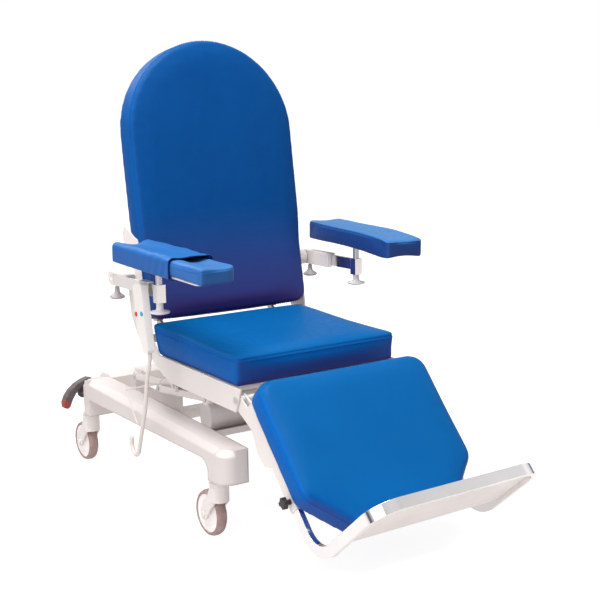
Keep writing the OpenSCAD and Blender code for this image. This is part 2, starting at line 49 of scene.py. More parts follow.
# ------------------------------------------------------------------ shader helpers
class Nodes:
    """Adds and links shader nodes. An input may be a number, a tuple or a node's output."""

    def __init__(self, tree):
        self.tree = tree
        tree.nodes.clear()

    def add(self, kind, inputs=None, **settings):
        node = self.tree.nodes.new("ShaderNode" + kind)
        for key, value in settings.items():
            setattr(node, key, value)
        for key, value in (inputs or {}).items():
            socket = node.inputs[key]
            if isinstance(value, bpy.types.NodeSocket):
                self.tree.links.new(value, socket)
            elif isinstance(value, tuple):
                socket.default_value = (*value, 1)[:len(socket.default_value)]
            else:
                socket.default_value = value
        return node

    def math(self, operation, first, second):
        return self.add("Math", {0: first, 1: second}, operation=operation).outputs[0]

    def times(self, first, second):
        return self.math("MULTIPLY", first, second)

    def plus(self, first, second):
        return self.math("ADD", first, second)

    def remap(self, value, span, to=(0, 1), smooth=False):
        inputs = {"Value": value, "From Min": span[0], "From Max": span[1],
                  "To Min": to[0], "To Max": to[1]}
        kind = "SMOOTHSTEP" if smooth else "LINEAR"
        return self.add("MapRange", inputs, interpolation_type=kind).outputs["Result"]

    def ramp(self, value, stops):
        """stops are (position, colour), the first at 0 and the last at 1"""
        node = self.add("ValToRGB", {0: value})
        elements = node.color_ramp.elements
        elements[0].color = (*stops[0][1], 1)
        elements[-1].color = (*stops[-1][1], 1)
        for position, colour in stops[1:-1]:
            elements.new(position).color = (*colour, 1)
        return node.outputs[0]

    def split(self, vector):
        return self.add("SeparateXYZ", {0: vector}).outputs


class Material(Nodes):
    def __init__(self, name):
        self.data = bpy.data.materials.new(name)
        self.data.use_nodes = True
        super().__init__(self.data.node_tree)
        self.place = self.add("TexCoord").outputs["Object"]

    def noise(self, scale, detail=3, roughness=0.55, distortion=0.0, vector=None):
        inputs = {"Scale": scale, "Detail": detail, "Roughness": roughness,
                  "Distortion": distortion, "Vector": vector or self.place}
        return self.add("TexNoise", inputs).outputs["Fac"]

    def patches(self, scale, detail=3, span=(0.3, 0.7), to=(0, 1), roughness=0.55):
        """noise stretched from span to the range `to`"""
        return self.remap(self.noise(scale, detail, roughness), span, to)

    def stretched(self, scale):
        return self.add("Mapping", {"Scale": scale, "Vector": self.place}).outputs[0]

    def voronoi(self, scale, feature):
        inputs = {"Scale": scale, "Vector": self.place}
        return self.add("TexVoronoi", inputs, feature=feature).outputs["Distance"]

    def mix(self, mask, first, second):
        inputs = {0: mask, 6: first, 7: second}
        return self.add("Mix", inputs, data_type="RGBA", blend_type="MIX").outputs[2]

    def tint(self, base, colour, mask, amount):
        return self.mix(self.times(mask, amount), base, colour)

    def bump(self, height, strength, distance, normal=None):
        inputs = {"Strength": strength, "Distance": distance, "Height": height}
        if normal is not None:
            inputs["Normal"] = normal
        return self.add("Bump", inputs).outputs[0]

    def bevel(self, radius):
        return self.add("Bevel", {"Radius": radius}, samples=4).outputs[0]

    def edge(self, bevel):
        """0 on flats, rising where the bevelled normal leans from the face's own"""
        normal = self.add("NewGeometry").outputs["Normal"]
        dot = self.add("VectorMath", {0: bevel, 1: normal}, operation="DOT_PRODUCT")
        return self.remap(dot.outputs["Value"], span=(1.0, 0.86))

    def output(self, shader):
        self.add("OutputMaterial", {0: shader.outputs[0]})
        return self.data

    def finish(self, **inputs):
        inputs = {key.replace("_", " "): value for key, value in inputs.items()}
        return self.output(self.add("BsdfPrincipled", inputs))


def shade(colour, gain, lift=0.0):
    return tuple(min(1, channel * gain + lift) for channel in colour)


# ------------------------------------------------------------------ materials
def vinyl(name, colour, shadow, top=(0.0005, 0.104, 0.272), front=0.36, specular=0.07,
          grain=1.0, low=None):
    """painted light and shade: shadow tints what faces down or forward, top what faces up, low
    the lower heights, and faces turned to -X are lightened
    """
    mat = Material(name)
    base = mat.mix(mat.patches(scale=6), colour, shade(colour, gain=0.9))
    mottle = mat.patches(scale=38, detail=4, span=(0.35, 0.75))
    base = mat.tint(base, shade(colour, gain=1.25, lift=0.004), mottle, amount=0.16)

    facing = mat.split(mat.add("NewGeometry").outputs["Normal"])
    down = mat.remap(facing["Z"], span=(0.02, -0.40), smooth=True)
    ahead = mat.times(mat.remap(facing["Y"], span=(-0.5, -0.9), smooth=True),
                      mat.remap(facing["Z"], span=(0.13, -0.06), smooth=True))
    left = mat.remap(facing["X"], span=(-0.45, -0.85), smooth=True)
    up = mat.remap(facing["Z"], span=(0.2, 0.75), smooth=True)
    # painted shade: the shadow colour on faces turned forward and down, and the low colour lower
    # down the part
    base = mat.tint(base, shadow, ahead, amount=front)
    base = mat.tint(base, shadow, down, amount=0.6)
    if low is not None:
        lower = mat.remap(mat.split(mat.place)["Z"], span=(0.86, 0.54), smooth=True)
        base = mat.tint(base, low, lower, amount=0.55)
    # painted light: faces turned to -X are lightened, and faces turned up take the top colour
    base = mat.tint(base, shade(colour, gain=1.7, lift=0.002), left, amount=0.5)
    base = mat.tint(base, top, up, amount=0.5)

    pores = mat.times(mat.voronoi(scale=620, feature="F1"), 0.7)
    leather = mat.plus(pores, mat.times(mat.noise(scale=1500, detail=2), 0.5))
    waves = mat.noise(scale=11, roughness=0.5, distortion=0.3)
    normal = mat.bump(waves, strength=0.35, distance=0.004)
    normal = mat.bump(leather, strength=0.22 * grain, distance=0.0004, normal=normal)
    return mat.finish(
        Base_Color=base, Roughness=mat.patches(scale=55, detail=4, to=(0.40, 0.52)),
        Normal=normal, Specular_IOR_Level=specular, Sheen_Weight=0.0)


def paint(name, colour, roughness=0.34, edge_radius=0.0018):
    wear, recess_shade = (0.62, 0.6, 0.58), (0.72, 0.66, 0.62)
    mat = Material(name)
    bevel = mat.bevel(edge_radius)
    spots = mat.patches(scale=85, detail=5, roughness=0.7, span=(0.52, 0.7))
    base = mat.mix(mat.patches(scale=5), colour, shade(colour, gain=0.965))
    # painted shade: a darker, warmer tone where ambient occlusion closes in, in recesses and
    # between parts
    occlusion = mat.add("AmbientOcclusion", {"Distance": 0.03}, samples=4).outputs["AO"]
    base = mat.tint(base, recess_shade, mat.remap(occlusion, span=(0.9, 0.35)), amount=0.22)
    base = mat.tint(base, wear, mat.times(mat.edge(bevel), spots), amount=0.35)
    orange_peel = mat.plus(mat.times(mat.noise(scale=420, detail=2), 0.5),
                           mat.noise(scale=90, detail=2))
    return mat.finish(
        Base_Color=base,
        Roughness=mat.patches(scale=24, detail=4, to=(roughness - 0.05, roughness + 0.09)),
        Normal=mat.bump(orange_peel, strength=0.05, distance=0.0008, normal=bevel),
        Specular_IOR_Level=0.5, Coat_Weight=0.18, Coat_Roughness=0.22)


def metal(name, colour, roughness, brushed=False):
    mat = Material(name)
    if brushed:
        grain = mat.noise(scale=1200, vector=mat.stretched(scale=(1, 0.04, 1)))
    else:
        grain = mat.noise(scale=700, detail=2)
    return mat.finish(
        Base_Color=mat.mix(mat.patches(scale=12), colour, shade(colour, gain=0.93)),
        Metallic=1.0,
        Roughness=mat.patches(scale=30, detail=5, roughness=0.6, span=(0.35, 0.7),
                              to=(roughness * 0.75, roughness * 1.5)),
        Normal=mat.bump(grain, strength=0.12 if brushed else 0.05, distance=0.0003,
                        normal=mat.bevel(radius=0.0012)))


def plastic(name, colour, roughness, grain_scale=900, grain=0.08, **extra):
    mat = Material(name)
    bevel = mat.bevel(radius=0.0014)
    base = mat.mix(mat.patches(scale=9), colour, shade(colour, gain=0.93))
    # painted highlight: edges lightened
    base = mat.tint(base, shade(colour, gain=1.35, lift=0.02), mat.edge(bevel), amount=0.22)
    return mat.finish(
        Base_Color=base,
        Roughness=mat.patches(scale=40, detail=4, to=(roughness - 0.05, roughness + 0.1)),
        Normal=mat.bump(mat.noise(grain_scale, detail=2), strength=grain, distance=0.0004,
                        normal=bevel),
        Specular_IOR_Level=0.45, **extra)


def tyre():
    mat = Material("tyre_grey")
    dust = mat.patches(scale=60, detail=5, roughness=0.65, span=(0.42, 0.68))
    return mat.finish(
        Base_Color=mat.mix(dust, (0.34, 0.225, 0.212), (0.44, 0.33, 0.32)),
        Roughness=mat.remap(dust, span=(0, 1), to=(0.55, 0.75)),
        Normal=mat.bump(mat.noise(scale=500), strength=0.25, distance=0.0006,
                        normal=mat.bevel(radius=0.002)),
        Specular_IOR_Level=0.35)


def plywood():
    mat = Material("sealed_plywood")
    inputs = {"Scale": 5, "Distortion": 7, "Detail": 3,
              "Vector": mat.stretched(scale=(9, 1, 1.2))}
    grain = mat.add("TexWave", inputs, wave_type="BANDS", bands_direction="X").outputs["Fac"]
    stops = [(0, (0.36, 0.22, 0.12)), (0.5, (0.5, 0.33, 0.19)), (1, (0.58, 0.41, 0.25))]
    return mat.finish(
        Base_Color=mat.ramp(grain, stops),
        Roughness=mat.patches(scale=50, to=(0.45, 0.65)),
        Normal=mat.bump(grain, strength=0.12, distance=0.0006,
                        normal=mat.bevel(radius=0.001)))


def pedal_rubber():
    """dark, with red below a slanting line"""
    mat = Material("pedal_rubber")
    place = mat.split(mat.place)
    slant = mat.plus(place["Z"], mat.times(place["X"], 0.9))
    tip = mat.remap(slant, span=(-0.105, -0.112))
    base = mat.mix(tip, (0.085, 0.068, 0.072), (0.30, 0.035, 0.03))
    dust = mat.patches(scale=70, detail=4, span=(0.4, 0.7))
    return mat.finish(
        Base_Color=mat.tint(base, (0.17, 0.14, 0.14), dust, amount=0.4), Roughness=0.5,
        Normal=mat.bump(mat.voronoi(scale=210, feature="SMOOTH_F1"), strength=0.25,
                        distance=0.001, normal=mat.bevel(radius=0.004)),
        Specular_IOR_Level=0.4)


SEAT_VINYL = vinyl("royal_blue_vinyl", (0.0005, 0.080, 0.312), shadow=(0.048, 0.030, 0.175))
# the upright back: a darker copy of the seat vinyl, painted shade, darkest lower down
BACK_VINYL = vinyl("royal_blue_vinyl_upright", (0.0008, 0.054, 0.212),
                   shadow=(0.036, 0.014, 0.085), top=(0.0008, 0.075, 0.25), front=0.6,
                   low=(0.060, 0.037, 0.168))
# the arm pads are the same vinyl: the near pad a lighter copy with a light top, painted sheen;
# the far pad a darker copy, painted shade, with a bright top, painted light
LEFT_PAD_VINYL = vinyl("royal_blue_vinyl_pads_painted_sheen", (0.020, 0.098, 0.300),
                       shadow=(0.03, 0.05, 0.19), top=(0.060, 0.180, 0.40), front=0.1,
                       specular=0.12)
RIGHT_PAD_VINYL = vinyl("royal_blue_vinyl_far_pad_painted_shade", (0.010, 0.042, 0.165),
                        shadow=(0.03, 0.03, 0.13), top=(0.055, 0.235, 0.52), front=0.1,
                        specular=0.12)
# the sleeve: a copy of the same vinyl with a lighter top, painted light
SLEEVE_VINYL = vinyl("royal_blue_vinyl_sleeve_painted_light", (0.010, 0.076, 0.265),
                     shadow=(0.03, 0.04, 0.18), top=(0.022, 0.140, 0.38), front=0.1,
                     specular=0.12)
BINDING = vinyl("navy_edge_binding", (0.006, 0.03, 0.16), shadow=(0.01, 0.01, 0.06))
THREAD = vinyl("blue_thread", (0.012, 0.12, 0.42), shadow=(0.02, 0.05, 0.3), grain=0.2)
FRAME_PAINT = paint("warm_white_powder_coat", (0.79, 0.74, 0.715))
# the base rails: a darker copy of the white paint, painted shade on their sides
RAIL_PAINT = paint("warm_white_cast_cover_painted_shade", (0.68, 0.625, 0.61), roughness=0.40,
                   edge_radius=0.011)
CHROME = metal("polished_chrome", (0.96, 0.94, 0.935), roughness=0.09)
STEEL = metal("satin_zinc_steel", (0.6, 0.6, 0.62), roughness=0.28, brushed=True)
TYRE = tyre()
# the hubs glow faintly: painted light that lifts them out of their shade
HUB = plastic("white_wheel_plastic_glowing", (0.92, 0.88, 0.865), roughness=0.36,
              Emission_Color=(1.0, 0.95, 0.93), Emission_Strength=0.10)
DARK_PLASTIC = plastic("black_plastic", (0.022, 0.018, 0.02), roughness=0.38)
GREY_PLASTIC = plastic("grey_knob_plastic", (0.40, 0.37, 0.39), roughness=0.36)
KNOB_PLASTIC = plastic("white_knob_plastic", (0.76, 0.74, 0.745), roughness=0.32)
IVORY_PLASTIC = plastic("ivory_plastic", (0.80, 0.77, 0.745), roughness=0.38)
PANEL = plastic("cream_panel", (0.92, 0.87, 0.845), roughness=0.42, grain_scale=320, grain=0.1)
PLYWOOD = plywood()
RED_KEY = plastic("red_key", (0.62, 0.03, 0.04), roughness=0.3)
BLUE_KEY = plastic("blue_key", (0.02, 0.33, 0.55), roughness=0.3)
CORD = plastic("pale_cord", (0.74, 0.67, 0.64), roughness=0.45)
PEDAL = pedal_rubber()

SLOT_MATERIALS = {
    "frame_paint": FRAME_PAINT, "bare_steel": STEEL, "chrome": CHROME,
    "upholstery": SEAT_VINYL, "plywood": PLYWOOD, "white_plastic": IVORY_PLASTIC,
    "wheel_tyre": TYRE, "wheel_hub": HUB, "pedal": PEDAL, "dark_plastic": DARK_PLASTIC,
    "grey_plastic": GREY_PLASTIC, "pale_panel": PANEL, "red_button": RED_KEY,
    "blue_button": BLUE_KEY, "cord": CORD,
}
# CAD pieces that differ from the rest of their slot
OWN_MATERIALS = {
    "base_rail_left": RAIL_PAINT, "base_rail_right": RAIL_PAINT,
    "clamp_knob_left": KNOB_PLASTIC, "clamp_knob_right": KNOB_PLASTIC,
}


def paint_piece(name, material):
    slots = NODES[name].data.materials
    slots.clear()
    slots.append(material)


for row in cad["record"]["subparts"]:
    paint_piece(row["node"], SLOT_MATERIALS[row["material_slot"]])
for piece, own_material in OWN_MATERIALS.items():
    paint_piece(piece, own_material)


# ------------------------------------------------------------------ mesh helpers
def add_object(name, data):
    part = bpy.data.objects.new(name, data)
    SCENE.collection.objects.link(part)
    return part


def set_smooth(mesh):
    mesh.polygons.foreach_set("use_smooth", [True] * len(mesh.polygons))


def new_mesh(name, points, faces, material, smooth=True):
    mesh = bpy.data.meshes.new(name)
    mesh.from_pydata([tuple(point) for point in points], [], faces)
    mesh.validate()
    editor = bmesh.new()
    editor.from_mesh(mesh)
    bmesh.ops.recalc_face_normals(editor, faces=editor.faces)
    editor.to_mesh(mesh)
    editor.free()
    if smooth:
        set_smooth(mesh)
    mesh.materials.append(material)
    return add_object(name, mesh)


def attach(part, body, replaced=None):
    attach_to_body(part, body)
    if replaced:
        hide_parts(replaced)


def mesh_coords(mesh):
    flat = np.zeros(len(mesh.vertices) * 3, np.float64)
    mesh.vertices.foreach_get("co", flat)
    return flat.reshape(-1, 3)


def set_coords(part, points):
    part.data.vertices.foreach_set("co", np.ascontiguousarray(points, np.float32).ravel())
    part.data.update()


def normals(part):
    flat = np.zeros(len(part.data.vertices) * 3, np.float32)
    part.data.vertices.foreach_get("normal", flat)
    return flat.reshape(-1, 3).astype(float)


def evaluated_mesh(part):
    graph = bpy.context.evaluated_depsgraph_get()
    return bpy.data.meshes.new_from_object(part.evaluated_get(graph))


def apply_modifier(part, kind, **settings):
    modifier = part.modifiers.new(kind.lower(), kind)
    for key, value in settings.items():
        setattr(modifier, key, value)
    bpy.context.view_layer.update()
    mesh = evaluated_mesh(part)
    part.modifiers.clear()
    old = part.data
    part.data = mesh
    bpy.data.meshes.remove(old)


def relax(part, iterations):
    apply_modifier(part, "SMOOTH", factor=0.5, iterations=iterations)


def remesh(part, size):
    apply_modifier(part, "REMESH", mode="VOXEL", voxel_size=size, use_smooth_shade=True)
    relax(part, iterations=2)


def subdivide(part):
    apply_modifier(part, "SUBSURF", levels=1, render_levels=1)
    set_smooth(part.data)


def ring_faces(count, sides, base=0, closed=False):
    """quads joining `count` rings of `sides` points, the first point at index base"""
    faces = []
    for i in range(count if closed else count - 1):
        near, far = base + i * sides, base + (i + 1) % count * sides
        for k in range(sides):
            after = (k + 1) % sides
            faces.append((near + k, near + after, far + after, far + k))
    return faces


def end_caps(count, sides):
    last = (count - 1) * sides
    return [tuple(range(sides))[::-1], tuple(range(last, last + sides))]


class PanelFrame:
    """origin, two unit axes in the panel and a third one out of its face"""

    def __init__(self, origin, across, along, out):
        self.origin = np.array(origin, float)
        self.axes = np.array([across, along, out], float)

    def world(self, points):
        return self.origin + np.asarray(points, float) @ self.axes

    def local(self, points):
        return (np.asarray(points, float) - self.origin) @ self.axes.T


# ------------------------------------------------------------------ outlines
def arcs(*specs):
    """points along arcs of (centre, radius, start degrees, end degrees, steps)"""
    points = []
    for centre, radius, start, end, steps in specs:
        for i in range(steps + 1):
            angle = math.radians(start + (end - start) * i / steps)
            points.append((centre[0] + radius * math.cos(angle),
                           centre[1] + radius * math.sin(angle)))
    return points


def rounded_rect(half_width, low, high, radius, second=None):
    """second is (radius, steps) of the corner at +x and low y, where it differs"""
    radius2, steps2 = second or (radius, 5)
    return arcs(((-half_width + radius, low + radius), radius, 180, 270, 5),
                ((half_width - radius2, low + radius2), radius2, 270, 360, steps2),
                ((half_width - radius, high - radius), radius, 0, 90, 5),
                ((-half_width + radius, high - radius), radius, 90, 180, 5))


def arc_lengths(points):
    return np.r_[0, np.cumsum(np.linalg.norm(np.diff(points, axis=0), axis=1))]


def resample(outline, step):
    ring = np.vstack([outline, outline[:1]])
    lengths = arc_lengths(ring)
    count = int(round(lengths[-1] / step))
    marks = np.linspace(0, lengths[-1], count, endpoint=False)
    return np.c_[np.interp(marks, lengths, ring[:, 0]), np.interp(marks, lengths, ring[:, 1])]


def ring_normals(ring):
    tangent = np.roll(ring, -1, 0) - np.roll(ring, 1, 0)
    tangent /= np.linalg.norm(tangent, axis=1)[:, None]
    outward = np.c_[tangent[:, 1], -tangent[:, 0]]
    if np.sum((ring - ring.mean(0)) * outward) < 0:
        outward = -outward
    return outward


def outline_distance(ring, points):
    """unsigned distance of 2D points from the closed ring"""
    sides = np.roll(ring, -1, 0) - ring
    squares = (sides ** 2).sum(1)
    nearest = np.full(len(points), 1e9)
    for corner, side, square in zip(ring, sides, squares):
        along = np.clip(((points - corner) @ side) / square, 0, 1)
        gap = np.linalg.norm(points - (corner + along[:, None] * side), axis=1)
        np.minimum(nearest, gap, nearest)
    return nearest


BACK_ROLL_STEPS, FRONT_ROLL_STEPS = 6, 8


def rounded_prism(name, frame, outline, front, back, front_roll, back_roll, material,
                  step=0.008):
    """closed solid over the outline, from back to front, with rolled edges"""
    ring = resample(outline, step)
    outward = ring_normals(ring)
    levels = []
    for i in range(BACK_ROLL_STEPS + 1):
        turn = math.pi / 2 * i / BACK_ROLL_STEPS
        levels.append((ring - outward * back_roll * (1 - math.sin(turn)),
                       back + back_roll * (1 - math.cos(turn))))
    for i in range(FRONT_ROLL_STEPS + 1):
        turn = math.pi / 2 * i / FRONT_ROLL_STEPS
        levels.append((ring - outward * front_roll * (1 - math.cos(turn)),
                       front - front_roll * (1 - math.sin(turn))))
    points = [(x, y, z) for flat, z in levels for x, y in flat]
    size = (len(levels), len(ring))
    faces = ring_faces(*size) + end_caps(*size)
    return new_mesh(name, frame.world(np.array(points)), faces, material), ring


# ------------------------------------------------------------------ upholstery helpers
def inflate(part, frame, pin_top, pin_fade, pressure, cap, frames=12):
    """swells the part as pressure cloth, by at most cap; it is pinned below pin_top"""
    rest = mesh_coords(part.data)
    pins = np.round(np.clip((pin_top - frame.local(rest)[:, 2]) / pin_fade, 0, 1), 1)
    group = part.vertex_groups.new(name="pin")
    for value in np.unique(pins):
        if value > 0:
            group.add([int(i) for i in np.nonzero(pins == value)[0]], float(value), "REPLACE")
    cloth = part.modifiers.new("cloth", "CLOTH")
    settings = dict(
        quality=6, mass=0.35, tension_stiffness=16, compression_stiffness=16,
        shear_stiffness=6, bending_stiffness=1.0, tension_damping=8, compression_damping=8,
        air_damping=2, use_pressure=True, uniform_pressure_force=pressure,
        vertex_group_mass="pin", shrink_min=0.002)
    for key, value in settings.items():
        setattr(cloth.settings, key, value)
    cloth.settings.effector_weights.gravity = 0
    cloth.collision_settings.use_collision = False
    cloth.collision_settings.use_self_collision = False
    cloth.point_cache.frame_start = 1
    cloth.point_cache.frame_end = frames + 1
    for i in range(1, frames + 1):
        SCENE.frame_set(i)
    mesh = evaluated_mesh(part)
    swell = mesh_coords(mesh) - rest
    bpy.data.meshes.remove(mesh)
    part.modifiers.clear()
    part.vertex_groups.clear()
    length = np.linalg.norm(swell, axis=1)
    swell *= np.minimum(1, cap / np.maximum(length, 1e-9))[:, None]

    # well filled foam leaves no loose ripples: even the swelling out over neighbours
    passes, kept, shared = 14, 0.4, 0.6
    ends = np.zeros(len(part.data.edges) * 2, np.int32)
    part.data.edges.foreach_get("vertices", ends)
    start, end = np.r_[ends[0::2], ends[1::2]], np.r_[ends[1::2], ends[0::2]]
    count = len(swell)
    degree = np.maximum(np.bincount(start, minlength=count), 1)[:, None]
    for _ in range(passes):
        sums = [np.bincount(start, weights=swell[end, k], minlength=count) for k in range(3)]
        swell = kept * swell + shared * np.stack(sums, 1) / degree
    set_coords(part, rest + swell)
    SCENE.frame_set(1)


def fitted(part, frame, low, high):
    """the part's local points, stretched so that they reach from low to high"""
    local = frame.local(mesh_coords(part.data))
    for k in range(3):
        least, most = local[:, k].min(), local[:, k].max()
        local[:, k] = low[k] + (local[:, k] - least) * (high[k] - low[k]) / (most - least)
    return local


def crown(local, ring, start, fade, reach, height, limit, excess):
    """raises the face away from its outline, eased above limit; returns the face mask"""
    z = local[:, 2]
    face = np.clip((z + start) / fade, 0, 1)
    z += face * (1 - np.exp(-outline_distance(ring, local[:, :2]) / reach)) * height
    z[:] = np.where(z > limit, limit + (z - limit) * excess, z)
    return face


def ease(values):
    amount = np.clip(values, 0, 1)
    return amount * amount * (3 - 2 * amount)


def groove(position, at, width, depth):
    """profile across a sewn seam: a narrow valley with raised lips"""
    x = (position - at) / width
    lips = np.exp(-((x - 2.2) ** 2)) + np.exp(-((x + 2.2) ** 2))
    return -depth * np.exp(-(x ** 2)) + 0.35 * depth * lips


def side_mask(facing, start, slope=1.4):
    return np.clip(start - np.abs(facing) * slope, 0, 1)


def band_seams(depth, side, face, rear):
    """seams at both edges of the side band, each (depth below the face, width, depth)"""
    return groove(depth, *face) * np.clip(side * 2, 0, 1) + groove(depth, *rear) * side


def corner_creases(local, corners, width):
    return sum(-0.0012 * np.exp(-(np.hypot(local[:, 0] - x, local[:, 1] - y) / width) ** 2)
               for x, y in corners)


def puckers(run, rate, wobble, wobble_rate, off_seam, reach, height):
    """fine gathers along a seam, fading away from it"""
    waves = np.sin(run * rate + wobble * np.sin(run * wobble_rate))
    return waves * np.exp(-(off_seam / reach) ** 2) * height


def lumps(local, *layers):
    """sum of noise layers, each (scale, seed, height)"""
    return sum(height * np.array([
        noise.noise(Vector((x * scale + seed, y * scale, z * scale))) for x, y, z in local])
        for scale, seed, height in layers)


def relief(part, frame, height_at):
    """subdivides, then moves points along their normals by height_at(local, facing)"""
    subdivide(part)
    points = mesh_coords(part.data)
    directions = normals(part)
    height = height_at(frame.local(points), directions @ frame.axes[2])
    set_coords(part, points + directions * height[:, None])


# ------------------------------------------------------------------ frames of the soft parts
BACK_LEAN = math.radians(8.7)       # from upright
SEAT_TILT = math.radians(0.93)
LEG_DROP = math.radians(48.44)      # below level
BACK_FRAME = PanelFrame((0, -0.0716, 0.5387), (1, 0, 0),
                        (0, math.sin(BACK_LEAN), math.cos(BACK_LEAN)),
                        (0, -math.cos(BACK_LEAN), math.sin(BACK_LEAN)))
SEAT_FRAME = PanelFrame((0, -0.041, 0.511), (1, 0, 0),
                        (0, math.cos(SEAT_TILT), math.sin(SEAT_TILT)),
                        (0, -math.sin(SEAT_TILT), math.cos(SEAT_TILT)))
LEG_FRAME = PanelFrame((0, -0.6202, 0.461), (1, 0, 0),
                       (0, -math.cos(LEG_DROP), -math.sin(LEG_DROP)),
                       (0, -math.sin(LEG_DROP), math.cos(LEG_DROP)))
CUSHION_VOXEL = 0.006


# ------------------------------------------------------------------ back cushion
def back_cushion():
    half_width, shoulder, corner = 0.2715 - 0.002, 0.522, 0.034
    corner_y = corner - 0.0115
    outline = arcs(((-half_width + corner, corner_y), corner, 180, 270, 6),
                   ((half_width - corner, corner_y), corner, 270, 360, 6),
                   ((0, shoulder), half_width, 0, 180, 40))
    rear = -0.0797
    cover, ring = rounded_prism("back_cushion_cover", BACK_FRAME, outline, front=-0.004,
                                back=-0.0795, front_roll=0.011, back_roll=0.005,
                                material=BACK_VINYL)
    remesh(cover, CUSHION_VOXEL)
    inflate(cover, BACK_FRAME, pin_top=-0.066, pin_fade=0.008, pressure=1.6, cap=0.009)
    relax(cover, iterations=3)
    local = fitted(cover, BACK_FRAME, low=(-0.2722, -0.0130, rear),
                   high=(0.2722, shoulder + 0.2716, 0.0075))
    crown(local, ring, start=0.05, fade=0.035, reach=0.07, height=0.004, limit=0.0125,
          excess=0.25)
    x, y, z = local.T
    np.maximum(z, rear, out=z)
    # stay clear of the side plates and of the seat, and widen higher up
    np.clip(x, -0.2724, 0.2724, out=x)
    x *= 1 + 0.026 * ease((y - 0.16) / 0.12)
    np.maximum(y, -0.0134, out=y)
    set_coords(cover, BACK_FRAME.world(local))

    def height_at(local, facing):
        x, y, z = local.T
        side = side_mask(facing, start=1.3, slope=1.5)
        seams = band_seams(-z, side, face=(0.0105, 0.0024, 0.0016), rear=(0.070, 0.002, 0.0009))
        gathers = puckers(np.arctan2(y - 0.4, x), rate=150, wobble=3, wobble_rate=9,
                          off_seam=-z - 0.0105, reach=0.012, height=0.00018)
        uneven = lumps(local, (7, 0.0, 0.0010), (22, 7.0, 0.00015))
        return seams + gathers * side + uneven * (0.35 + 0.65 * np.clip(facing, 0, 1))

    relief(cover, BACK_FRAME, height_at)
    return cover, ring


back, back_ring = back_cushion()
attach(back, "back", replaced="back_cushion")


# ------------------------------------------------------------------ seat cushion
def seat_cushion():
    outline = rounded_rect(0.2600 - 0.001, low=-0.4705 + 0.001, high=-0.003, radius=0.009)
    cover, ring = rounded_prism("seat_cushion_cover", SEAT_FRAME, outline, front=-0.003,
                                back=-0.0797, front_roll=0.007, back_roll=0.004,
                                material=SEAT_VINYL, step=0.006)
    remesh(cover, CUSHION_VOXEL)
    # towards the rear the underside sits further forward than the top
    local = SEAT_FRAME.local(mesh_coords(cover.data))
    x, y, z = local.T
    y += 0.040 * (z / 0.08) * np.clip((y + 0.16) / 0.16, 0, 1)
    set_coords(cover, SEAT_FRAME.world(local))
    inflate(cover, SEAT_FRAME, pin_top=-0.068, pin_fade=0.008, pressure=1.3, cap=0.007)
    relax(cover, iterations=1)
    local = fitted(cover, SEAT_FRAME, low=(-0.2618, -0.4732, -0.0797),
                   high=(0.2618, 0.001, 0.0048))
    top = crown(local, ring, start=0.045, fade=0.03, reach=0.05, height=0.0025, limit=0.008,
                excess=0.2)
    x, y, z = local.T
    z += 0.007 * top * ease((y + 0.34) / 0.30)
    np.maximum(z, -0.0799, out=z)
    np.clip(x, -0.2619, 0.2619, out=x)
    x += 0.005 * top * np.clip(x / 0.262, 0, 1) ** 3
    set_coords(cover, SEAT_FRAME.world(local))

    def height_at(local, facing):
        x, y, z = local.T
        side = side_mask(facing, start=1.25)
        height = band_seams(-z, side, face=(0.0115, 0.0018, 0.0012),
                            rear=(0.073, 0.0018, 0.0008))
        # upright corner seams at the front
        corners = [(-0.256, -0.4665), (0.256, -0.4665)]
        height += corner_creases(local, corners, width=0.0035) * side
        height += side * puckers(x + y, rate=420, wobble=2, wobble_rate=37,
                                 off_seam=-z - 0.012, reach=0.010, height=0.00015)
        height += lumps(local, (6, 3.0, 0.0011), (20, 9.0, 0.00015))
        # slight hollow where people sit
        hollow = np.exp(-((x / 0.17) ** 2 + ((y + 0.26) / 0.16) ** 2))
        return height - 0.0035 * hollow * np.clip(facing, 0, 1)

    relief(cover, SEAT_FRAME, height_at)
    return cover, ring


seat, seat_ring = seat_cushion()
attach(seat, "seat", replaced="seat_cushion")


# ------------------------------------------------------------------ leg cushion
def leg_cushion():
    half_width = 0.265 - 0.002
    near, far = half_width - 0.046, half_width - 0.045     # corner centres from the middle
    outline = arcs(((-near, 0.039), 0.046, 180, 270, 8), ((near, 0.039), 0.046, 270, 360, 8),
                   ((far, 0.292), 0.045, 0, 42, 5), ((0.139, 0.386), 0.032, 48, 90, 5),
                   ((-0.139, 0.386), 0.032, 90, 132, 5), ((-far, 0.292), 0.045, 138, 180, 5))
    rear = -0.0657
    cover, ring = rounded_prism("leg_cushion_cover", LEG_FRAME, outline, front=-0.002,
                                back=-0.0655, front_roll=0.020, back_roll=0.004,
                                material=SEAT_VINYL)
    remesh(cover, CUSHION_VOXEL)
    inflate(cover, LEG_FRAME, pin_top=-0.054, pin_fade=0.008, pressure=1.6, cap=0.008)
    relax(cover, iterations=3)
    local = fitted(cover, LEG_FRAME, low=(-0.2710, -0.0100, rear),
                   high=(0.2690, 0.4205, 0.0060))
    crown(local, ring, start=0.045, fade=0.03, reach=0.06, height=0.003, limit=0.009,
          excess=0.2)
    x, y, z = local.T
    np.maximum(z, rear, out=z)
    np.clip(x, -0.2712, 0.2692, out=x)
    set_coords(cover, LEG_FRAME.world(local))

    def height_at(local, facing):
        x, y, z = local.T
        side = side_mask(facing, start=1.35)
        seams = band_seams(-z, side, face=(0.0165, 0.002, 0.0012), rear=(0.058, 0.0018, 0.0008))
        gathers = puckers(np.arctan2(y - 0.2, x), rate=120, wobble=2, wobble_rate=7,
                          off_seam=-z - 0.0165, reach=0.011, height=0.00016)
        return seams + gathers * side + lumps(local, (7, 13.0, 0.0011), (21, 19.0, 0.00015))

    relief(cover, LEG_FRAME, height_at)
    return cover, ring


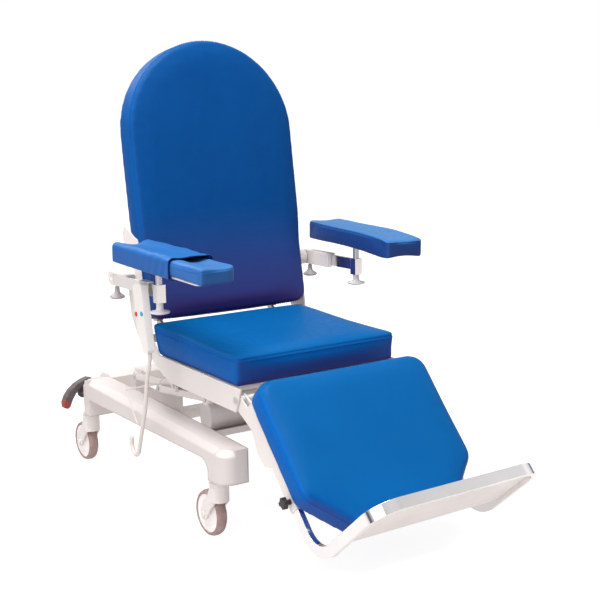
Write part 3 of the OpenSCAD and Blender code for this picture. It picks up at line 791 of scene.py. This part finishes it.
leg, leg_ring = leg_cushion()
attach(leg, "leg", replaced="leg_cushion")


# ------------------------------------------------------------------ arm pads
PAD_Z = 0.7115
# the left pad pitches, its middle 57 mm forward of the arm point
PITCH_COS, PITCH_SIN = math.cos(math.radians(1.7)), math.sin(math.radians(1.7))
LEFT_FRAME = PanelFrame((-0.337, -0.274 - 0.057 * PITCH_COS, PAD_Z - 0.057 * PITCH_SIN),
                        (1, 0, 0), (0, PITCH_COS, PITCH_SIN), (0, -PITCH_SIN, PITCH_COS))
# the right pad is turned about the vertical, 6 mm across and 31.5 mm forward
YAW_COS, YAW_SIN = math.cos(math.radians(-9)), math.sin(math.radians(-9))
RIGHT_FRAME = PanelFrame((0.349 + 0.006 * YAW_COS + 0.0315 * YAW_SIN,
                          -0.217 + 0.006 * YAW_SIN - 0.0315 * YAW_COS, PAD_Z),
                         (YAW_COS, YAW_SIN, 0), (-YAW_SIN, YAW_COS, 0), (0, 0, 1))


def arm_pad(node, frame, body, material, half_width, half_length, thickness, dish, droop,
            dish_shift, front_corner, bottom, board):
    """dished pad; dish_shift moves the dish across, droop lowers the front end"""
    length = half_length - 0.0015
    outline = rounded_rect(half_width - 0.001, -length, length, radius=0.015,
                           second=(front_corner, 7))
    cover, ring = rounded_prism(node + "_cover", frame, outline, front=thickness - 0.002,
                                back=0.0045, front_roll=0.008, back_roll=0.003,
                                material=material, step=0.005)
    remesh(cover, 0.0042)
    inflate(cover, frame, pin_top=0.013, pin_fade=0.006, pressure=1.6, cap=0.004, frames=10)
    local = fitted(cover, frame, low=(-half_width, -half_length, bottom),
                   high=(half_width, half_length, thickness + 0.001))
    x, y, z = local.T

    def fall(along):
        return droop * np.clip(-along, 0, 1) ** 2.2

    top = np.clip((z - thickness * 0.4) / (thickness * 0.5), 0, 1)
    across = np.clip(np.abs(x / half_width - dish_shift), 0, 1.2)
    along = y / half_length
    # dished along the middle, rims highest half way, falling towards both ends
    hollow = np.exp(-((across / 0.62) ** 2.4)) * np.clip(1.25 - 0.9 * along ** 2, 0, 1)
    z += top * (0.002 - dish * hollow - fall(along))
    low = np.clip(1 - z / (thickness * 0.5), 0, 1)
    if board:
        z -= 0.004 * low * np.clip(-along * 14 - 12.9, 0, 1)
    else:
        # the underside drops towards the front, less so in the middle of that end
        z += (0.007 * low * np.clip(-along * 4 - 3, 0, 1)
              * np.cos(np.clip(across, 0, 1) * math.pi / 2))
        z -= 0.009 * low * np.clip(-along * 1.5 - 0.2, 0, 1) ** 1.3
        y += 0.010 * np.clip(along * 3 - 2, 0, 1)
    # waisted ends
    y -= (np.sign(along) * 0.004 * np.clip(np.abs(along) * 8 - 7, 0, 1)
          * np.cos(across * math.pi / 2))
    set_coords(cover, frame.world(local))

    def height_at(local, facing):
        x, y, z = local.T
        side = side_mask(facing, start=1.3)
        seam = thickness - 0.0095 - fall(y / half_length)
        height = groove(z, seam, width=0.0016, depth=0.0006) * np.clip(side * 2, 0, 1)
        corners = [(i * (half_width - 0.005), k * (half_length - 0.005))
                   for i in (-1, 1) for k in (-1, 1)]
        height += corner_creases(local, corners, width=0.003) * side
        height += side * puckers(x * 1.3 + y, rate=520, wobble=2, wobble_rate=31,
                                 off_seam=z - seam, reach=0.008, height=0.00022)
        return height + lumps(local, (16, 23.0, 0.0010), (5, 31.0, 0.0016))

    relief(cover, frame, height_at)
    attach(cover, body, replaced=node)
    if board:
        # pale backing board under the cushion
        board_length = half_length - 0.014
        outline = rounded_rect(half_width - 0.007, -board_length, board_length, radius=0.018)
        plate, _ = rounded_prism(node + "_board", frame, np.array(outline) + (0, 0.006),
                                 front=0.0052, back=0.0004, front_roll=0.0010,
                                 back_roll=0.0010, material=IVORY_PLASTIC, step=0.006)
        attach(plate, body)
    return cover, ring


left_pad, left_ring = arm_pad(
    "arm_pad_left", LEFT_FRAME, "pad_l", LEFT_PAD_VINYL, half_width=0.0575, half_length=0.240,
    thickness=0.048, dish=0.014, droop=0.002, dish_shift=0.22, front_corner=0.034,
    bottom=0.0045, board=True)
right_pad, right_ring = arm_pad(
    "arm_pad_right", RIGHT_FRAME, "pad_r", RIGHT_PAD_VINYL, half_width=0.060,
    half_length=0.250, thickness=0.058, dish=0.009, droop=0.015, dish_shift=0.0,
    front_corner=0.015, bottom=0.0005, board=False)


# ------------------------------------------------------------------ tubes
def tube(name, path, radius, material, sides, closed=False):
    """radius is one number or one for each point of the path"""
    path = [Vector(point) for point in path]
    count = len(path)
    points = []
    across = Vector((0.13, 0.21, 0.97)).normalized()
    for i in range(count):
        before = path[(i - 1) % count] if (closed or i > 0) else path[i]
        after = path[(i + 1) % count] if (closed or i < count - 1) else path[i]
        tangent = (after - before).normalized()
        across = across - tangent * across.dot(tangent)
        if across.length < 1e-6:
            across = tangent.orthogonal()
        across.normalize()
        other = tangent.cross(across)
        size = radius[i] if isinstance(radius, list) else radius
        for k in range(sides):
            angle = 2 * math.pi * k / sides
            points.append(path[i] + across * (size * math.cos(angle))
                          + other * (size * math.sin(angle)))
    faces = ring_faces(count, sides, closed=closed)
    if not closed:
        faces += end_caps(count, sides)
    return new_mesh(name, points, faces, material)


# ------------------------------------------------------------------ sleeve of the left pad
def pad_sleeve():
    """sewn tube of vinyl, stretched over the raised rims, open at the front"""
    mouth, rear, rows, wall = -0.090, 0.2365, 50, 0.0022
    half_width, bottom, top_z = 0.0605, -0.0028, 0.0540
    low_radius, high_radius = 0.006, 0.015
    low_x, low_z = half_width - low_radius, bottom + low_radius
    high_x, high_z = half_width - high_radius, top_z - high_radius
    profile = resample(arcs(((low_x, low_z), low_radius, 270, 360, 8),
                            ((high_x, high_z), high_radius, 0, 90, 8),
                            ((-high_x, high_z), high_radius, 90, 180, 8),
                            ((-low_x, low_z), low_radius, 180, 270, 8)), 0.0048)
    sides = len(profile)
    outward = ring_normals(profile)
    points = []
    for inset in (0.0, wall):
        x, z = (profile - outward * inset).T
        across = np.clip(np.abs(x) / half_width, 0, 1)
        top = np.clip((z - 0.03) / 0.02, 0, 1)
        for i in range(rows + 1):
            part = i / rows
            sag = (0.002 + 0.0125 * part ** 1.3) * np.exp(-((across / 0.55) ** 2.2))
            bulge = 0.0016 * math.sin(math.pi * part)
            # the mouth runs further forward on the inner side
            slant = -top * ((x + half_width) * 0.13) * (1 - part) ** 1.4
            # folds across the top, and drag lines down the sides
            fold = (0.0012 * np.sin(part * 17 + x * 42) * top * (1 - 0.5 * part)
                    + 0.0011 * np.sin(part * 41 + x * 90 + 1.3) * top * (1 - part))
            drag = (0.0010 * np.sin(part * 55 + z * 60) * (1 - top)
                    * np.exp(-((part - 0.18) / 0.2) ** 2))
            points.append(np.column_stack((
                x + outward[:, 0] * (drag + bulge * 0.3),
                mouth + (rear - mouth) * part + slant,
                z - top * sag + outward[:, 1] * (fold + drag + bulge))))
    points = np.vstack(points)
    points[:, 0] = np.clip(points[:, 0], -0.0622, 0.0622)
    points[:, 2] = np.maximum(points[:, 2], -0.0029)

    inner = (rows + 1) * sides       # index of the inner wall's first point
    faces = ring_faces(rows + 1, sides) + ring_faces(rows + 1, sides, base=inner)
    for k in range(sides):
        after = (k + 1) % sides
        for end in (0, rows * sides):
            faces.append((end + k, end + after, inner + end + after, inner + end + k))
    cover = new_mesh("pad_sleeve_cover", LEFT_FRAME.world(points), faces, SLEEVE_VINYL)
    hem = LEFT_FRAME.world(points[:sides] + np.array([0, -0.0006, 0]))
    binding = tube("pad_sleeve_binding", hem, 0.0019, BINDING, sides=8, closed=True)
    subdivide(cover)
    attach(cover, "pad_l")
    attach(binding, "pad_l")
    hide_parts("pad_sleeve_left")


pad_sleeve()


# ------------------------------------------------------------------ thread along the seams
STITCH_LENGTH, STITCH_GAP = 0.0042, 0.0028
THREAD_RADIUS, THREAD_LIFT, THREAD_SIDES = 0.00055, 0.0003, 5
# (part of the stitch's length, height in thread radii)
STITCH_ARCH = ((0.0, -0.3), (0.2, 0.9), (0.8, 0.9), (1.0, -0.3))


def seam_thread(name, cover, body, frame, ring, level):
    """one mesh of short stitches laid on the cover, round the outline at a local height"""
    mesh = cover.data
    tree = BVHTree.FromPolygons([tuple(vertex.co) for vertex in mesh.vertices],
                                [tuple(face.vertices) for face in mesh.polygons])
    ring = resample(ring, 0.004)
    ring = ring + ring_normals(ring) * 0.012
    path = frame.world(np.c_[ring, np.full(len(ring), level)])
    path = np.r_[path, path[:1]]
    lengths = arc_lengths(path)
    mark, points, faces = 0.0, [], []

    def nearest(distance):
        spot = Vector([np.interp(distance, lengths, path[:, k]) for k in range(3)])
        return tree.find_nearest(spot)[:2]

    while mark + STITCH_LENGTH < lengths[-1]:
        start, start_normal = nearest(mark)
        end, end_normal = nearest(mark + STITCH_LENGTH)
        if (end - start).length > STITCH_LENGTH * 0.4:
            direction = (end - start).normalized()
            normal = ((start_normal + end_normal) * 0.5).normalized()
            across = direction.cross(normal).normalized()
            base = len(points)
            for part, rise in STITCH_ARCH:
                centre = (start + (end - start) * part
                          + normal * (THREAD_LIFT + THREAD_RADIUS * rise))
                for k in range(THREAD_SIDES):
                    angle = 2 * math.pi * k / THREAD_SIDES
                    points.append(centre + across * (THREAD_RADIUS * math.cos(angle))
                                  + normal * (THREAD_RADIUS * math.sin(angle)))
            faces += ring_faces(len(STITCH_ARCH), THREAD_SIDES, base)
            for cap in (base, len(points) - THREAD_SIDES):
                faces.append(tuple(range(cap, cap + THREAD_SIDES)))
        mark += STITCH_LENGTH + STITCH_GAP
    attach(new_mesh(name, points, faces, THREAD), body)


seam_thread("back_seam_thread", back, "back", BACK_FRAME, back_ring, level=-0.0145)
seam_thread("seat_seam_thread", seat, "seat", SEAT_FRAME, seat_ring, level=-0.0155)
seam_thread("leg_seam_thread", leg, "leg", LEG_FRAME, leg_ring, level=-0.0205)
seam_thread("pad_right_seam_thread", right_pad, "pad_r", RIGHT_FRAME, right_ring,
            level=0.0445)
seam_thread("pad_left_seam_thread", left_pad, "pad_l", LEFT_FRAME, left_ring,
            level=0.0345)


# ------------------------------------------------------------------ hand control cord
CORD_X = -0.374
SPLINE_STEPS = 8
# (y, z) of the points each piece passes through, from the top gland round to the plug
CORD_PATH = [
    (-0.2545, 0.474), (-0.2475, 0.450), (-0.232, 0.405), (-0.213, 0.320), (-0.190, 0.255),
    (-0.171, 0.205), (-0.1625, 0.183), (-0.1455, 0.1725), (-0.1285, 0.183),
    (-0.1222, 0.200), (-0.122, 0.214)]
GLAND_PATH = [(-0.2519, 0.486), (-0.2535, 0.476), (-0.2553, 0.465)]
PLUG_PATH = [(-0.122, 0.194), (-0.122, 0.206), (-0.122, 0.219)]
END_POINTS = 2 * SPLINE_STEPS + 1
# both end pieces are ribbed; the gland tapers and the plug widens
GLAND_RADII = [0.0066 - 0.0009 * (k % 3 == 2) - 0.0012 * k / 16 for k in range(END_POINTS)]
PLUG_RADII = [0.0054 + 0.0014 * min(1, k / 5) - 0.0006 * (k % 4 == 3)
              for k in range(END_POINTS)]


def cord_spline(path):
    """Catmull-Rom curve through the path"""
    knots = [np.array((CORD_X, y, z), float) for y, z in path]
    knots = [2 * knots[0] - knots[1]] + knots + [2 * knots[-1] - knots[-2]]
    points = []
    for i in range(1, len(knots) - 2):
        before, start, end, after = knots[i - 1:i + 3]
        for k in range(SPLINE_STEPS):
            part = k / SPLINE_STEPS
            points.append(0.5 * ((2 * start) + (-before + end) * part
                                 + (2 * before - 5 * start + 4 * end - after) * part ** 2
                                 + (-before + 3 * start - 3 * end + after) * part ** 3))
    return points + [knots[-2]]


cord_parts = [
    tube("handset_cord_moulded", cord_spline(CORD_PATH), 0.0057, CORD, sides=14),
    tube("handset_cord_gland", cord_spline(GLAND_PATH), GLAND_RADII, CORD, sides=16),
    tube("handset_cord_plug", cord_spline(PLUG_PATH), PLUG_RADII, CORD, sides=16)]
for cord_part in cord_parts:
    attach(cord_part, "handset")
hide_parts("handset_cord")


# ------------------------------------------------------------------ camera, lights, floor
def add_camera():
    data = bpy.data.cameras.new("cam")
    data.sensor_width = 36.0
    data.lens = 67.35531
    data.clip_end = 100
    camera = add_object("cam", data)
    turn, rise, roll = (math.radians(angle) for angle in (-34.4063, 10.1561, -0.8078))
    forward = -Vector((math.sin(turn) * math.cos(rise), -math.cos(turn) * math.cos(rise),
                       math.sin(rise)))
    level = forward.cross(Vector((0, 0, 1))).normalized()
    upright = level.cross(forward)
    right = level * math.cos(roll) + upright * math.sin(roll)
    up = -level * math.sin(roll) + upright * math.cos(roll)
    pose = Matrix((right, up, -forward)).transposed().to_4x4()
    pose.translation = Vector((-1.69770, -2.90184, 1.14781))
    camera.matrix_world = pose
    SCENE.camera = camera


def add_light(name, place, target, size, power, colour=(1, 1, 1)):
    data = bpy.data.lights.new(name, "AREA")
    data.shape = "DISK"
    data.size = size
    data.energy = power
    data.color = colour
    light = add_object(name, data)
    light.location = place
    aim = Vector(target) - Vector(place)
    light.rotation_euler = aim.to_track_quat("-Z", "Y").to_euler()


# room brightness from straight down (0) to straight up (1)
ROOM_STOPS = [
    (0.0, (0.5, 0.48, 0.47)), (0.49, (0.42, 0.41, 0.43)), (0.56, (0.30, 0.31, 0.36)),
    (0.70, (0.62, 0.63, 0.66)), (0.86, (1.0, 1.0, 1.0)), (1.0, (1.0, 1.0, 1.0))]
# mirror-like parts see a banded room: light above, a dark line at eye level
MIRROR_STOPS = [
    (0.0, (0.55, 0.52, 0.51)), (0.44, (0.42, 0.40, 0.42)), (0.50, (0.07, 0.07, 0.12)),
    (0.545, (0.10, 0.11, 0.17)), (0.60, (0.72, 0.72, 0.74)), (0.74, (1.0, 1.0, 1.0)),
    (0.85, (0.62, 0.62, 0.63)), (1.0, (0.9, 0.9, 0.9))]


def add_world():
    world = bpy.data.worlds.new("studio")
    SCENE.world = world
    world.use_nodes = True
    nodes = Nodes(world.node_tree)

    def background(colour, strength):
        return nodes.add("Background", {0: colour, 1: strength}).outputs[0]

    def choose(ray, otherwise, seen):
        return nodes.add("MixShader", {0: ray, 1: otherwise, 2: seen}).outputs[0]

    rays = nodes.add("LightPath").outputs
    direction = nodes.split(nodes.add("TexCoord").outputs["Generated"])
    height = nodes.remap(direction["Z"], span=(-1, 1))
    room = background(nodes.ramp(height, ROOM_STOPS), strength=0.56)
    mirrored = background(nodes.ramp(height, MIRROR_STOPS), strength=1.0)
    lit = choose(rays["Is Glossy Ray"], room, mirrored)
    white = background((1, 1, 1), strength=1.0)
    nodes.add("OutputWorld", {0: choose(rays["Is Camera Ray"], lit, white)})


def add_floor():
    """glowing floor that fades to white for the camera and stays dimmer for other rays"""
    mat = Material("pale_floor")
    position = mat.add("NewGeometry").outputs["Position"]
    distance = mat.add("VectorMath", {0: position}, operation="LENGTH").outputs["Value"]
    fade = mat.remap(distance, span=(0.9, 2.6), smooth=True)
    camera_ray = mat.add("LightPath").outputs["Is Camera Ray"]
    seen = mat.remap(fade, span=(0.0, 1.0), to=(0.88, 1.0))
    felt = mat.remap(fade, span=(0.0, 1.0), to=(0.62, 0.62))    # the same at any distance
    strength = mat.plus(mat.times(camera_ray, seen),
                        mat.times(mat.math("SUBTRACT", 1.0, camera_ray), felt))
    glow_colour = mat.mix(camera_ray, (1.0, 0.945, 0.925), (1.0, 1.0, 1.0))
    glow = mat.add("Emission", {0: glow_colour, 1: strength})
    grey = mat.mix(mat.noise(scale=3, detail=2), (0.24, 0.24, 0.24), (0.26, 0.26, 0.26))
    matte = mat.add("BsdfDiffuse", {0: grey})
    material = mat.output(mat.add("AddShader", {0: glow.outputs[0], 1: matte.outputs[0]}))
    reach = 30
    corners = [(-reach, -reach, 0), (reach, -reach, 0), (reach, reach, 0), (-reach, reach, 0)]
    new_mesh("floor", corners, [(0, 1, 2, 3)], material, smooth=False)


add_camera()
add_light("key", (-0.9, -0.9, 4.0), target=(0, -0.2, 0.4), size=2.6, power=205,
          colour=(1.0, 0.985, 0.97))
add_light("fill", (-2.6, -1.6, 1.6), target=(0, -0.2, 0.5), size=2.2, power=30,
          colour=(1.0, 0.975, 0.96))
add_light("rim", (-0.6, 2.6, 3.0), target=(0, 0, 0.7), size=2.0, power=30)
add_world()
add_floor()
SCENE.view_settings.view_transform = "Standard"
SCENE.view_settings.look = "None"
